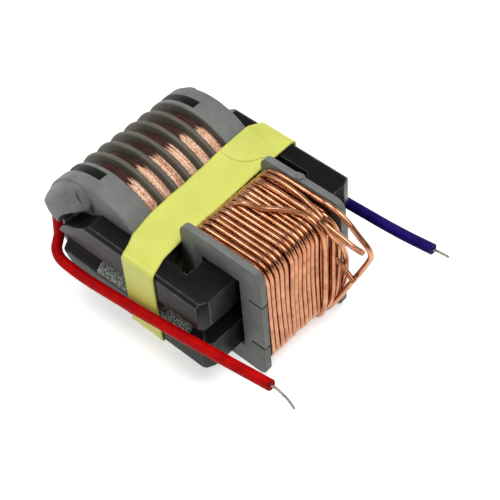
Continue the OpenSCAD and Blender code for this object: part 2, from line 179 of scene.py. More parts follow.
def spline(points, steps):
    """Smooth curve: b + t/2 (c-a) + t^2 (a - 2.5b + 2c - d/2) + t^3 (1.5(b-c) + (d-a)/2) on each span."""
    p = np.asarray(points, float)
    a = np.vstack([p[:1], p[:-2]])
    b = p[:-1]
    c = p[1:]
    d = np.vstack([p[2:], p[-1:]])
    t = (np.arange(steps) / steps)[None, :, None]
    a, b, c, d = (x[:, None, :] for x in (a, b, c, d))
    bend = a - 2.5 * b + 2 * c - d / 2
    span = b + t / 2 * (c - a) + t ** 2 * bend + t ** 3 * (1.5 * (b - c) + (d - a) / 2)
    return np.vstack([span.reshape(-1, 3), p[-1:]])


def unit(v):
    """Vectors of length one."""
    return v / np.linalg.norm(v, axis=-1, keepdims=True)


def cross_axes(path):
    """Two directions square to a path's tangent and to each other: tangent x X, and tangent x that."""
    tangent = unit(np.gradient(path, axis=0))
    side = unit(np.cross(tangent, [1.0, 0, 0]))
    return side, np.cross(tangent, side)


def run_along(path):
    """Length along a path up to each of its points."""
    return np.concatenate([[0], np.cumsum(np.linalg.norm(np.diff(path, axis=0), axis=1))])


def tube(path, radius, sides):
    """Circle carried along a path: radius times (cos(w) of one cross direction + sin(w) of the other)."""
    side, other = cross_axes(path)
    w = 2 * np.pi * np.arange(sides) / sides
    radius = np.broadcast_to(np.asarray(radius, float), len(path))[:, None, None]
    ring = np.cos(w)[None, :, None] * side[:, None, :] + np.sin(w)[None, :, None] * other[:, None, :]
    return path[:, None, :] + radius * ring


def tube_faces(rings, sides):
    """Quads along a tube and a flat cap at each end."""
    first = list(reversed(range(sides)))
    last = [(rings - 1) * sides + k for k in range(sides)]
    return [first, *grid_faces(rings, sides, close_columns=True).tolist(), last]


print("mesh helpers ready")

# %% [markdown]
# ## The two leads
# Each lead is a stiff insulated wire, so it keeps the bend it was given: down out of its hood, round
# the end of the yoke and along its face, to a stripped end past the primary. The red lead is seen from
# end to end. Of the blue one only the free end is seen, and the rest is taken to run like the red one.
# Each could be a mesh tube, but a curve with a round bevel stays one smooth line. It repeats the points
# of the solids.

# %% Lead materials
def silicone(name, deep, bright):
    """Extruded silicone rubber: smooth and almost matt, a little uneven in colour along its length."""
    material, tree, place = new_material(name)
    cloud = add(tree, "TexNoise", {"Vector": place, "Scale": per_mm(3.5), "Detail": 2.0})
    dust = add(tree, "TexNoise", {"Vector": place, "Scale": per_mm(0.35), "Detail": 2.0})
    rough = add(tree, "MapRange", {"Value": dust.outputs["Fac"], "To Min": 0.42, "To Max": 0.56})
    bump = add(tree, "Bump", {"Height": dust.outputs["Fac"], "Distance": 0.02 * MM, "Strength": 0.5})
    skin = add(tree, "BsdfPrincipled", {
        "Base Color": ramp(tree, cloud.outputs["Fac"], [(0.35, deep), (0.65, bright)]),
        "Roughness": rough.outputs["Result"], "Specular IOR Level": 0.06, "Normal": bump.outputs["Normal"]})
    add(tree, "OutputMaterial", {"Surface": skin.outputs["BSDF"]})
    return material


def tinned_copper():
    """Tinned copper strands: a pale metal, dulled unevenly by handling."""
    material, tree, place = new_material("tinned_copper")
    cloud = add(tree, "TexNoise", {"Vector": place, "Scale": per_mm(0.6), "Detail": 3.0})
    rough = add(tree, "MapRange", {"Value": cloud.outputs["Fac"], "To Min": 0.25, "To Max": 0.45})
    metal = add(tree, "BsdfPrincipled", {
        "Base Color": ramp(tree, cloud.outputs["Fac"], [(0.3, "#8f8b82"), (0.7, "#c9c5bb")]),
        "Metallic": 1.0, "Roughness": rough.outputs["Result"]})
    add(tree, "OutputMaterial", {"Surface": metal.outputs["BSDF"]})
    return material


red_rubber = silicone("red_silicone", "#a40103", "#bd0406")
blue_rubber = silicone("blue_silicone", "#160c52", "#20136a")
tin = tinned_copper()
print("lead materials:", red_rubber.name, blue_rubber.name, tin.name)

# %% Lead routes and conductors
LEAD_D = 2.4
RED_ROUTE = [[-19.8, 27.2, 22.4], [-19.8, 27.2, 20.4], [-20, 27.5, 18], [-20.2, 27.6, 15.6],
             [-20.6, 27.5, 13.4], [-21.7, 27, 12.3], [-23, 26, 11.8], [-24, 24, 11.4], [-24.3, 21, 11.2],
             [-24.3, 16, 11.2], [-24.3, 11, 11.8], [-24.3, 5, 12.8], [-24.3, -1, 13.8], [-24.3, -7, 15],
             [-24.3, -13, 16.2], [-24.3, -19, 17.5], [-24.3, -25, 18.8], [-24.3, -31, 20.2],
             [-24.3, -37, 21.6]]
RED_BARE = [[-24.3, -37.1, 21.62], [-24.3, -39, 21.8], [-24.2, -41, 20.8], [-24, -42.5, 18.8]]
BLUE_ROUTE = [[19.8, 27.2, 22.4], [19.8, 27.2, 20.4], [20, 27.5, 18], [20.2, 27.6, 15.6],
              [20.6, 27.5, 13.4], [21.7, 27, 12.3], [23, 26, 11.8], [24, 24, 11.6], [24.3, 21, 11.6],
              [24.3, 16, 12], [24.3, 11, 12.6], [24.3, 5, 13.3], [24.3, -1, 13.9], [24.3, -7, 14.4],
              [24.3, -13, 14.7], [24.3, -19, 15], [24.3, -25, 15.3], [24.3, -31, 15.9], [24.3, -37, 16.8]]
BLUE_BARE = [[24.3, -37.1, 16.82], [24.3, -38.5, 17.1], [24.3, -41, 17.4]]
# Radius of a strand, and the length in which the outer strands go once round
STRAND_R = 0.1
TWIST_MM = 5.0
OUTER_STRANDS = 6


def lead(name, route, skin, replaced):
    """A curve through the route with a round bevel of the lead's diameter and flat cut ends."""
    path = spline(route, steps=6) * MM
    curve = bpy.data.curves.new(name, "CURVE")
    curve.dimensions = "3D"
    curve.bevel_depth = LEAD_D / 2 * MM
    curve.bevel_resolution = 8
    curve.use_fill_caps = True
    line = curve.splines.new("POLY")
    line.points.add(len(path) - 1)
    line.points.foreach_set("co", np.column_stack([path, np.ones(len(path))]).ravel())
    curve.materials.append(skin)
    piece = bpy.data.objects.new(name, curve)
    bpy.context.scene.collection.objects.link(piece)
    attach(piece, "root")
    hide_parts(replaced)
    length = float(np.linalg.norm(np.diff(path, axis=0), axis=1).sum())
    return piece, path, length


def strands(name, route, replaced):
    """Six strands twisted round a middle one: each runs two radii from the route and turns as it goes."""
    path = spline(route, steps=10)
    side, other = cross_axes(path)
    sides = 8
    points = [tube(path, STRAND_R, sides)]
    for k in range(OUTER_STRANDS):
        w = (2 * np.pi * (k / OUTER_STRANDS + run_along(path) / TWIST_MM))[:, None]
        points.append(tube(path + 2 * STRAND_R * (np.cos(w) * side + np.sin(w) * other), STRAND_R, sides))
    one = tube_faces(len(path), sides)
    faces = [[i + k * len(path) * sides for i in face] for k in range(len(points)) for face in one]
    return new_piece(name, np.concatenate(points), faces, tin, [replaced])


red_strands = strands("red_lead_strands", RED_BARE, "red_conductor")
blue_strands = strands("blue_lead_strands", BLUE_BARE, "blue_conductor")
red, red_path, red_length = lead("red_lead_insulation", RED_ROUTE, red_rubber, "red_lead")
blue, blue_path, blue_length = lead("blue_lead_insulation", BLUE_ROUTE, blue_rubber, "blue_lead")
print("leads in mm:", round(red_length / MM, 1), round(blue_length / MM, 1))

# %% [markdown]
# ## Ferrite and moulding
# The cores are a black ceramic, pressed and fired, and their edges are pale, partly from chipping and wear
# and partly as a painted highlight. The bobbins are moulded from one grey plastic, which is browned between
# the flanges, and shade is painted dark at the bottom of the pockets. One material with masks could show
# all of it. Plain materials on the faces are easier to read.

# %% Materials of the solids
def ferrite():
    """Sintered manganese-zinc ferrite: a black ceramic, ground matt, with fine grain and rub marks."""
    material, tree, place = new_material("ferrite")
    grain = add(tree, "TexNoise", {"Vector": place, "Scale": per_mm(0.3), "Detail": 4.0})
    cloud = add(tree, "TexNoise", {"Vector": place, "Scale": per_mm(5.0), "Detail": 4.0, "Roughness": 0.6})
    shade = weighted(tree, [(cloud.outputs["Fac"], 0.6), (grain.outputs["Fac"], 0.4)])
    rough = add(tree, "MapRange", {"Value": cloud.outputs["Fac"], "To Min": 0.28, "To Max": 0.4})
    bump = add(tree, "Bump", {"Height": grain.outputs["Fac"], "Distance": 0.03 * MM, "Strength": 0.5})
    body = add(tree, "BsdfPrincipled", {
        "Base Color": ramp(tree, shade, [(0.3, "#090a09"), (0.5, "#0f100f"), (0.72, "#1a1b19")]),
        "Roughness": rough.outputs["Result"], "Specular IOR Level": 0.14, "Normal": bump.outputs["Normal"]})
    add(tree, "OutputMaterial", {"Surface": body.outputs["BSDF"]})
    return material


def worn_and_highlit_ferrite_edge():
    """The same ceramic where an edge is chipped and worn, with a painted highlight: pale grey in places,
    black between them.
    """
    material, tree, place = new_material("worn_and_highlit_ferrite_edge")
    rub = add(tree, "TexNoise", {"Vector": place, "Scale": per_mm(3.0), "Detail": 5.0, "Roughness": 0.7})
    # The pale stops are partly wear and partly a painted highlight
    stops = [(0.5, "#0f100f"), (0.62, "#3c3d3a"), (0.74, "#7b7c78")]
    body = add(tree, "BsdfPrincipled", {
        "Base Color": ramp(tree, rub.outputs["Fac"], stops), "Roughness": 0.42, "Specular IOR Level": 0.4})
    add(tree, "OutputMaterial", {"Surface": body.outputs["BSDF"]})
    return material


def grey_moulding(name, stops):
    """Glass-filled nylon: a matt moulding with a faint mottle, pale specks and a fine spark texture."""
    material, tree, place = new_material(name)
    cloud = add(tree, "TexNoise", {"Vector": place, "Scale": per_mm(4.0), "Detail": 4.0, "Roughness": 0.6})
    speck = add(tree, "TexNoise", {"Vector": place, "Scale": per_mm(0.22), "Detail": 3.0})
    shade = weighted(tree, [(cloud.outputs["Fac"], 0.65), (speck.outputs["Fac"], 0.35)])
    rough = add(tree, "MapRange", {"Value": speck.outputs["Fac"], "To Min": 0.46, "To Max": 0.66})
    bump = add(tree, "Bump", {"Height": speck.outputs["Fac"], "Distance": 0.03 * MM, "Strength": 0.6})
    body = add(tree, "BsdfPrincipled", {
        "Base Color": ramp(tree, shade, stops),
        "Roughness": rough.outputs["Result"], "IOR": 1.5, "Normal": bump.outputs["Normal"]})
    add(tree, "OutputMaterial", {"Surface": body.outputs["BSDF"]})
    return material


black = ferrite()
# Pale edges of the cores: partly wear, partly a painted highlight
worn_and_highlit_edge = worn_and_highlit_ferrite_edge()
grey = grey_moulding("grey_moulding", [(0.3, "#5d605d"), (0.5, "#6b6e6b"), (0.7, "#7a7d7a")])
stained = grey_moulding("stained_moulding", [(0.3, "#4c4941"), (0.5, "#5a564b"), (0.7, "#69645a")])
# A darker copy of the moulding that paints shade at the bottoms of the pockets and in the hood's fold
shade_moulding = grey_moulding("painted_shade_moulding", [(0.3, "#1e211e"), (0.5, "#2a2e2a"), (0.7, "#383c38")])
print("materials of the solids:", black.name, worn_and_highlit_edge.name, grey.name, stained.name, shade_moulding.name)

# %% [markdown]
# ## Rounded edges
# The cores and the bobbins have the right shape already, but a solid's edges are perfectly sharp, and no
# pressed or moulded edge is. They could be modelled again with rounded corners. Instead a copy of the solid
# is merged, its flat triangles are joined to whole faces, and a Bevel modifier rounds every edge that turns
# by more than a set angle, so that the edges catch the light. On the cores the bevel takes a pale edge
# material, partly wear and partly a painted highlight.

# %% Rounded copies of cores and bobbins
# Points nearer than this are one point, and faces that turn by less than this are one face
MERGE_MM = 0.002
FLAT_DEG = 0.5


def rounded_copy(node, name, material, width_mm, turn_deg=30, edge=None):
    """A merged copy of a CAD node, with a bevel on edges that turn by more than turn_deg."""
    mesh = nodes[node].data.copy()
    mesh.name = name
    build = bmesh.new()
    build.from_mesh(mesh)
    bmesh.ops.remove_doubles(build, verts=build.verts, dist=MERGE_MM * MM)
    bmesh.ops.dissolve_limit(build, angle_limit=math.radians(FLAT_DEG), verts=build.verts,
                             edges=build.edges)
    build.to_mesh(mesh)
    build.free()
    mesh.materials.clear()
    mesh.materials.append(material)
    mesh.polygons.foreach_set("use_smooth", np.ones(len(mesh.polygons), bool))
    piece = bpy.data.objects.new(name, mesh)
    bpy.context.scene.collection.objects.link(piece)
    bevel = piece.modifiers.new("round edges", "BEVEL")
    bevel.width = width_mm * MM
    bevel.segments = 2
    bevel.limit_method = "ANGLE"
    bevel.angle_limit = math.radians(turn_deg)
    bevel.use_clamp_overlap = True
    bevel.harden_normals = True
    if edge:
        mesh.materials.append(edge)
        bevel.material = 1
    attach(piece, "root")
    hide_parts(node)
    return piece


for half in ("near", "far"):
    rounded_copy(f"core_{half}", f"ferrite_core_{half}", black, 0.2, turn_deg=18, edge=worn_and_highlit_edge)
bobbin = rounded_copy("secondary_bobbin", "secondary_moulding", grey, 0.16)
rounded_copy("primary_bobbin", "primary_moulding", grey, 0.22)
print("rounded copies: 4")

# %% [markdown]
# ## Stains, painted shade in the pockets and a crease
# The bobbin is browned between its flanges, shade is painted at the bottoms of its pockets, and the near
# hood has a fold in its skin. A painted mask could show the stains and the shade, but they follow whole
# faces, so faces are picked by where their middles lie. The fold stands out a little, so it is a thin tube
# half sunk in the skin, drawn dark as painted shade.

# %% Stained flanges, painted shade in the pockets and a crease
# Axis of the secondary in Y, and mid height of both windings in Z
AXIS_Y = 17.2
AXIS_Z = 15.85
# Distance from the middle up to which the flanges stand, and the pockets' reach in X and in radius
FLANGE_SPAN = 11.6
POCKET_X = (12.35, 14.65)
POCKET_R = (12.0, 15.7)
# A fold in the near hood's skin, as points on its surface
CREASE = [[-18.56, 20.54, 30.05], [-18.85, 20.45, 29.73], [-19.04, 20.23, 29.38], [-19.16, 19.84, 28.92],
          [-19.21, 19.42, 28.45], [-19.18, 19.01, 28.0], [-19.08, 18.61, 27.6]]


def hood_crease_shade(body):
    """Thin tube half sunk in the skin: its radius is 0.03 + 0.12 sin(pi s) mm at share s of its length."""
    # The tube is drawn in the dark moulding, as painted shade in the fold.
    path = spline(CREASE, steps=6)
    sides = 8
    radius = 0.03 + 0.12 * np.sin(np.pi * np.linspace(0, 1, len(path)))
    return new_piece("hood_crease_shade", tube(path, radius, sides), tube_faces(len(path), sides), body)


centres = np.empty(3 * len(bobbin.data.polygons))
bobbin.data.polygons.foreach_get("center", centres)
x_mm = np.abs(centres[0::3]) / MM
radius_mm = np.hypot(centres[1::3] / MM - AXIS_Y, centres[2::3] / MM - AXIS_Z)
flange_faces = x_mm < FLANGE_SPAN
beside_block = (x_mm > POCKET_X[0]) & (x_mm < POCKET_X[1])
pocket_faces = beside_block & (radius_mm > POCKET_R[0]) & (radius_mm < POCKET_R[1])
bobbin.data.materials.append(stained)
# The bottoms of the pockets get painted shade
bobbin.data.materials.append(shade_moulding)
bobbin.data.polygons.foreach_set("material_index", (flange_faces + 2 * pocket_faces).astype(np.int32))
hood_crease_shade(shade_moulding)
print("stained faces:", int(flange_faces.sum()), "pocket faces:", int(pocket_faces.sum()))

# %% [markdown]
# ## The secondary's fine wire
# Each slot holds many turns of hair-thin enamelled wire. At this distance the eye sees fine ridges that
# run round the coil and wander a little. Turns of the real thickness would be too small to show, so
# each coil is a ring with a ridged section, and its thirteen ridges are far coarser than the wire.
# They drift from side to side as the section goes round. Painted shade darkens the top and the back and
# ends in a ragged edge. The front is painted lighter, as copper in the light, up to the core's window,
# where painted shade comes back.

# %% Fine copper
def fine_copper():
    """Enamelled copper, hair-thin: reddish gold with painted light on the front, dark brown with painted
    shade on the top, the back and in the core's window.
    """
    # The flecks are drawn about 0.3 mm wide, coarser than the wire, because its own would not show
    material, tree, place = new_material("fine_copper")
    strand = add(tree, "Attribute", {}, attribute_name="strand")
    lay = add(tree, "Attribute", {}, attribute_name="lay")
    coil_shade = add(tree, "Attribute", {}, attribute_name="coil_shade")
    along = add(tree, "Mapping", {"Vector": lay.outputs["Vector"], "Scale": (0.55, 1.0, 1.0)})
    fleck = add(tree, "TexNoise", {"Vector": along.outputs["Vector"], "Scale": per_mm(0.27), "Detail": 3.0})
    cloud = add(tree, "TexNoise", {"Vector": place, "Scale": per_mm(2.2), "Detail": 2.0})
    shade = weighted(tree, [(strand.outputs["Fac"], 0.15), (fleck.outputs["Fac"], 0.65),
                            (cloud.outputs["Fac"], 0.2)])
    # The lighter ramp paints the copper as lit, the darker ramp paints shade on it, and the coil's mask
    # mixes them.
    lit_copper = ramp(tree, shade, [(0.33, "#84492f"), (0.48, "#d09774"), (0.62, "#ffe4cc")])
    dark = ramp(tree, shade, [(0.3, "#24100b"), (0.55, "#40201a"), (0.75, "#7a4632")])
    ragged_shade = add(tree, "Math", {0: fleck.outputs["Fac"], 1: 0.7, 2: coil_shade.outputs["Fac"]},
                 operation="MULTIPLY_ADD")
    shade_cover = add(tree, "MapRange", {"Value": ragged_shade.outputs[0], "From Min": 0.75, "From Max": 0.9})
    tint = add(tree, "Mix", {"Factor": shade_cover.outputs["Result"], "A": lit_copper, "B": dark}, data_type="RGBA")
    bump = add(tree, "Bump", {"Height": fleck.outputs["Fac"], "Distance": 0.06 * MM, "Strength": 0.8})
    metal = add(tree, "BsdfPrincipled", {
        "Base Color": tint.outputs["Result"], "Metallic": 0.55, "Roughness": 0.42,
        "Normal": bump.outputs["Normal"]})
    add(tree, "OutputMaterial", {"Surface": metal.outputs["BSDF"]})
    return material


hair_wire = fine_copper()
print("fine wire:", hair_wire.name)

# %% Fine-wire coils
TUBE_R = 8.9
COIL_R = 14.1
SLOT_COUNT = 6
SLOT_PITCH = 3.95
SLOT_W = 2.85
FLANGE_T = 1.1
# Room at each side of a slot, ridges across a coil, and how far a ridge's foot lies below the coil's radius
SIDE_GAP = 0.01
RIDGES = 13
FOOT = 0.42
# Heights of the crown across the slot, of a ridge and of the slow swelling round the coil
CROWN = 0.3
RIDGE = 0.09
SWELL = 0.08
# The painted shade ends at this angle from the top towards the primary, and at this one towards the back
SHADE_EDGE = 8
SHADE_BACK = 120
# Under the tape, in the core's window, painted shade darkens the coil again from this angle on
SHADE_INSIDE = 56
# Degrees over which the painted shade fades at these three places
FADE_EDGE = 16
FADE_BACK = 30
FADE_INSIDE = 10
# The edge differs by up to this from coil to coil, and jumps by up to this at so many places across one
EDGE_SPREAD = 3
JAG = 5
JAG_COUNT = 12
# The ridges' drift: shares of the slot's width, and waves round the coil
DRIFT = (0.035, 0.02, 0.012)
DRIFT_WAVES = (2, 5, 9)


def coil_painted_shade(w, s, rng):
    """Painted shade from 0 to 1: ramps over the angle from the top, with an edge that jumps across the
    slot.
    """
    front = np.degrees((2 * np.pi - w + np.pi) % (2 * np.pi) - np.pi)
    jag = np.interp(s, np.linspace(0, 1, JAG_COUNT), rng.uniform(-JAG, JAG, JAG_COUNT))
    edge = SHADE_EDGE + rng.uniform(-EDGE_SPREAD, EDGE_SPREAD) + jag
    top = np.clip((edge - front) / FADE_EDGE + 0.5, 0, 1)
    top = top * np.clip((front + SHADE_BACK) / FADE_BACK, 0, 1)
    inside = np.clip((front - SHADE_INSIDE) / FADE_INSIDE, 0, 1)
    inside = inside * np.clip((SHADE_BACK - front) / FADE_INSIDE, 0, 1)
    return np.maximum(top, inside)


def with_sides(values):
    """Columns of a coil's outside, with the first and the last repeated for the ring's two inner edges."""
    return np.hstack([values[:, :1], values, values[:, -1:]])


def coil(number, metal):
    """Ridged ring: radius = crown + ridge |cos| across the slot, shifted by slow sines of the angle."""
    stations = 288
    across = RIDGES * 6 + 1
    rng = np.random.default_rng(40 + number)
    w = (np.pi + 2 * np.pi * np.arange(stations) / stations)[:, None]
    s = np.linspace(0, 1, across)[None, :]
    drift = sum(a * np.sin(k * w + p) for a, k, p in
                zip(DRIFT, DRIFT_WAVES, rng.uniform(0, 2 * np.pi, len(DRIFT))))
    crown = CROWN * (1 - (2 * s - 1) ** 2)
    count = RIDGES * (s + drift * np.sin(np.pi * s))
    ridge = RIDGE * np.abs(np.cos(np.pi * count))
    swell = SWELL * np.sin(3 * w + rng.uniform(0, 6)) * np.sin(np.pi * s)
    outer = COIL_R - FOOT + crown + ridge + swell
    x0 = -(SLOT_COUNT * SLOT_PITCH - FLANGE_T) / 2 + (number - 1) * SLOT_PITCH
    x = x0 + SIDE_GAP + (SLOT_W - 2 * SIDE_GAP) * s
    radius = np.hstack([np.full((stations, 1), TUBE_R), outer, np.full((stations, 1), TUBE_R)])
    along = np.broadcast_to(with_sides(x), radius.shape)
    points = np.stack([along, AXIS_Y + radius * np.sin(w), AXIS_Z + radius * np.cos(w)], axis=-1)
    faces = grid_faces(stations, across + 2, True, True)
    piece = new_piece(f"secondary_turns_{number}", points, faces.tolist(), metal,
                      [f"secondary_coil_{number}"])
    tone = rng.uniform(0, 1, RIDGES + 4)
    shade = with_sides(tone[np.clip(np.round(count).astype(int) + 1, 0, RIDGES + 3)])
    strand = piece.data.attributes.new("strand", "FLOAT", "POINT")
    strand.data.foreach_set("value", shade.ravel())
    # Mask of painted shade, read by the fine copper material
    shade_mask = piece.data.attributes.new("coil_shade", "FLOAT", "POINT")
    shade_mask.data.foreach_set("value", coil_painted_shade(w, with_sides(s), rng).ravel())
    unrolled = np.stack([np.broadcast_to(COIL_R * w, along.shape), along, np.zeros_like(along)], axis=-1)
    lay = piece.data.attributes.new("lay", "FLOAT_VECTOR", "POINT")
    lay.data.foreach_set("vector", (unrolled * MM).ravel())
    return piece


for number in range(1, SLOT_COUNT + 1):
    coil(number, hair_wire)
print("coils:", SLOT_COUNT, "ridges each:", RIDGES)

# %% [markdown]
# ## The primary's heavy wire
# The primary is wound by hand from wire 1.2 mm thick, so its turns are not quite straight: they are
# spaced unevenly, bow a little, and lean further at the foot of the front the nearer they are to the
# far plate. An array of equal rings would look like a machine's work. The outer layer is one circle
# carried along a lap that goes round a rectangle with round corners and moves along X on every turn.
# The lower layers only show between the turns, so they are one ring with a ridged outside. A drop of
# hardened glue sits on the far plate.

# %% Heavy copper and the lap
def enamelled_copper():
    """Enamelled copper wire: copper seen through a clear amber enamel, which adds a sharper gloss."""
    material, tree, place = new_material("enamelled_copper")
    cloud = add(tree, "TexNoise", {"Vector": place, "Scale": per_mm(2.6), "Detail": 3.0})
    fleck = add(tree, "TexNoise", {"Vector": place, "Scale": per_mm(0.25), "Detail": 2.0})
    rough = add(tree, "MapRange", {"Value": fleck.outputs["Fac"], "To Min": 0.17, "To Max": 0.28})
    stops = [(0.3, "#a96a45"), (0.5, "#bf845f"), (0.7, "#cf9771")]
    metal = add(tree, "BsdfPrincipled", {
        "Base Color": ramp(tree, cloud.outputs["Fac"], stops), "Metallic": 1.0,
        "Roughness": rough.outputs["Result"], "Coat Weight": 0.35, "Coat Roughness": 0.12})
    add(tree, "OutputMaterial", {"Surface": metal.outputs["BSDF"]})
    return material


def lap(u, a, b, r):
    """Point and outward normal at share u of the way round a rectangle: half sizes a, b, corners r."""
    w = np.linspace(0, np.pi / 2, 24)[None, :] + np.pi / 2 * np.arange(4)[:, None]
    sy = np.array([1, -1, -1, 1])[:, None]
    sz = np.array([1, 1, -1, -1])[:, None]
    table = [sy * (a - r) + r * np.cos(w), sz * (b - r) + r * np.sin(w), np.cos(w), np.sin(w)]
    table = np.stack(table, axis=-1).reshape(-1, 4)
    table = np.vstack([table, table[:1]])
    run = run_along(table[:, :2])
    at = (u % 1) * run[-1]
    return [np.interp(at, run, table[:, k]) for k in range(4)]


heavy_wire = enamelled_copper()
print("heavy wire:", heavy_wire.name)

# %% Primary winding
PRIMARY_Y = -13.3
WIRE_D = 1.2
TURNS = 15
WIND_LEN = 22.0
# Half sizes in Y and Z and corner radius of the wire's middle line, the lower layers and the tube inside
WIRE_LAP = (9.92, 13.72, 3.4)
LOWER_LAP = (9.2, 13.0, 2.7)
TUBE_LAP = (6.3, 11.6, 0.4)
# Room at the winding's ends, the least pitch in wire diameters, and how much thinner a turn is drawn
END_ROOM = 0.2
CLOSEST = 0.97
THINNER = 0.035
# How far the last turn leans to -X at the foot of the front face
LEAN = 1.7
# Turns below the outer layer that show as ridges, and how deep the grooves between them are
LOWER_RIDGES = 17
LOWER_DEEP = 0.5
# How far those turns wander, in turns, and their gap to the end plates
LOWER_WANDER = 0.35
LOWER_GAP = 0.05
# Power that makes the outer spacings uneven, and the turns' bow as heights, waves a turn and phases
UNEVEN = 2.5
BOW = ((0.07, 0.37, 0.2), (0.06, 2.11, 0.0))


def outer_layer(metal):
    """Circle carried along the laps: at eight marks a turn its X is a running sum of uneven spacings."""
    marks = 8
    between = 12
    sides = 12
    rng = np.random.default_rng(7)
    room = WIND_LEN - END_ROOM - WIRE_D
    slack = rng.uniform(0, 1, (marks, TURNS)) ** UNEVEN
    slack = (slack + np.roll(slack, 1, axis=0) + np.roll(slack, -1, axis=0)) / 3
    slack = slack * (room - CLOSEST * WIRE_D * TURNS) / slack.sum(axis=1, keepdims=True)
    edges = np.cumsum(CLOSEST * WIRE_D + slack, axis=1)
    starts = np.hstack([np.zeros((marks, 1)), edges[:, :-1]])
    share = (np.arange(marks) / marks)[:, None]
    knots = (starts * (1 - share) + edges * share).T.ravel()
    knots = np.append(knots, room) - room / 2
    x = spline(np.column_stack([knots, np.zeros((len(knots), 2))]), between)[:, 0]
    t = np.arange(len(x)) / (marks * between)
    y, z, ny, nz = lap(t, *WIRE_LAP)
    half_y, half_z, _ = WIRE_LAP
    foot = (half_z - z) / (2 * half_z) * (half_y - y) / (2 * half_y)
    x = x - LEAN * foot * (x / room + 0.5)
    bow = sum(height * np.sin(2 * np.pi * (waves * t + phase)) for height, waves, phase in BOW)
    out = np.stack([np.zeros_like(t), ny, nz], axis=-1)
    path = np.stack([x, PRIMARY_Y + y, AXIS_Z + z], axis=-1) + bow[:, None] * out
    w = 2 * np.pi * np.arange(sides) / sides
    ring = np.cos(w)[None, :, None] * out[:, None, :] + np.sin(w)[None, :, None] * np.array([1.0, 0, 0])
    points = path[:, None, :] + (WIRE_D / 2 - THINNER) * ring
    faces = [face[::-1] for face in tube_faces(len(path), sides)]
    return new_piece("primary_outer_turns", points, faces, metal, ["primary_winding"])


def lower_layers(metal):
    """Ring with a row of half rounds outside: depth 1 - sqrt(1 - v^2), v from -1 to 1 on each."""
    stations = 160
    across = LOWER_RIDGES * 8 + 1
    u = (np.arange(stations) / stations)[:, None]
    s = np.linspace(0, 1, across)[None, :]
    y, z, ny, nz = (np.broadcast_to(k, (stations, across)) for k in lap(u, *LOWER_LAP))
    count = LOWER_RIDGES * s + LOWER_WANDER * np.sin(2 * np.pi * (u + 2 * s)) * np.sin(np.pi * s)
    sink = LOWER_DEEP * (1 - np.sqrt(np.clip(1 - (2 * (count % 1) - 1) ** 2, 0, 1)))
    x = -WIND_LEN / 2 + LOWER_GAP + (WIND_LEN - 2 * LOWER_GAP) * s
    x = np.broadcast_to(x, (stations, across))
    outer = np.stack([x, PRIMARY_Y + y - sink * ny, AXIS_Z + z - sink * nz], axis=-1)
    inner_y, inner_z, _, _ = lap(u, *TUBE_LAP)
    first = np.stack([x[:, :1], PRIMARY_Y + inner_y, AXIS_Z + inner_z], axis=-1)
    last = np.stack([x[:, -1:], PRIMARY_Y + inner_y, AXIS_Z + inner_z], axis=-1)
    points = np.concatenate([first, outer, last], axis=1)
    faces = grid_faces(stations, across + 2, True, True)[:, ::-1].tolist()
    return new_piece("primary_lower_turns", points, faces, metal, ["primary_inner_layers"])


outer_layer(heavy_wire)
lower_layers(heavy_wire)
print("primary turns:", TURNS, "ridges below:", LOWER_RIDGES)

# %% Drop of glue on the far plate
LUMP_AT = (11.9, -12.6, 31.6)
LUMP_HALF = (0.85, 1.35, 0.8)


def glue_lump(body):
    """Flat ellipsoid of polar angles a and b, whose radius is 1 + 0.1 sin(a) times a sum of three sines."""
    rows = 24
    columns = 40
    a = np.linspace(0.05, np.pi - 0.05, rows)[:, None]
    b = 2 * np.pi * np.arange(columns)[None, :] / columns
    sines = np.sin(2 * b + 1) + np.sin(3 * b + 4 * a) + 0.5 * np.sin(5 * b - 3 * a)
    lumpy = 1 + 0.1 * np.sin(a) * sines
    ball = np.stack(np.broadcast_arrays(np.sin(a) * np.cos(b), np.sin(a) * np.sin(b), np.cos(a)), axis=-1)
    points = np.array(LUMP_AT) + np.array(LUMP_HALF) * lumpy[..., None] * ball
    first = list(range(columns))
    last = [(rows - 1) * columns + k for k in reversed(range(columns))]
    faces = [first, *grid_faces(rows, columns, close_columns=True)[:, ::-1].tolist(), last]
    return new_piece("glue_lump", points, faces, body)


glue_lump(grey)
print("lump in mm:", [2 * half for half in LUMP_HALF])

# %% [markdown]
# ## Loose ends of the primary
# One wire crosses the top of the winding and goes down its front. At the far end one stands off as an
# open loop and dives under again, two short ends are cut off, and three slack turns bulge out beside
# them. The slack turns are in the scene only. The others follow the routes of the solids. Curves would
# do as well, but tubes on a spline get their round section from the same function as the strands.

# %% Loose wires
# Front edge of the primary's end plates in Y, and height over the mid height of a wire on top
PLATE_EDGE = -24.05
TOP_LAY = 15.02
CROSS = [[-0.7, 18.2, 13.4], [-0.3, 16.9, 14.5], [0.2, 15.4, TOP_LAY], [1.3, 12.1, TOP_LAY],
         [3.3, 9.2, TOP_LAY], [5, 5.8, TOP_LAY], [5.4, 2.6, 14.6], [5.5, 0.2, 12.4], [5.5, -0.4, 8.8],
         [5.4, -0.5, 3], [5.3, -0.4, -4], [5.2, -0.1, -9.5], [5, 1, -13.2], [4.8, 4, -14.9]]
LOOP = [[10.35, 20, 12.2], [10.35, 18.2, 14.2], [10.35, 15, TOP_LAY], [10.35, 9, TOP_LAY],
        [10.3, 4.6, 15.05], [10.2, 2.4, 15.3], [10, -0.2, 15.1], [10, -3, 13.8], [10, -5.6, 11.8],
        [10, -7.7, 10.2], [10, -8.5, 8.4], [10, -7.9, 6.2], [9.9, -6.2, 2.2], [9.7, -4.2, -2.2],
        [9.2, -1.9, -7.4], [8.2, -0.4, -10.8], [7.2, 1.1, -13.2], [6.2, 3.6, -14.8], [5.4, 6.8, -15.1]]
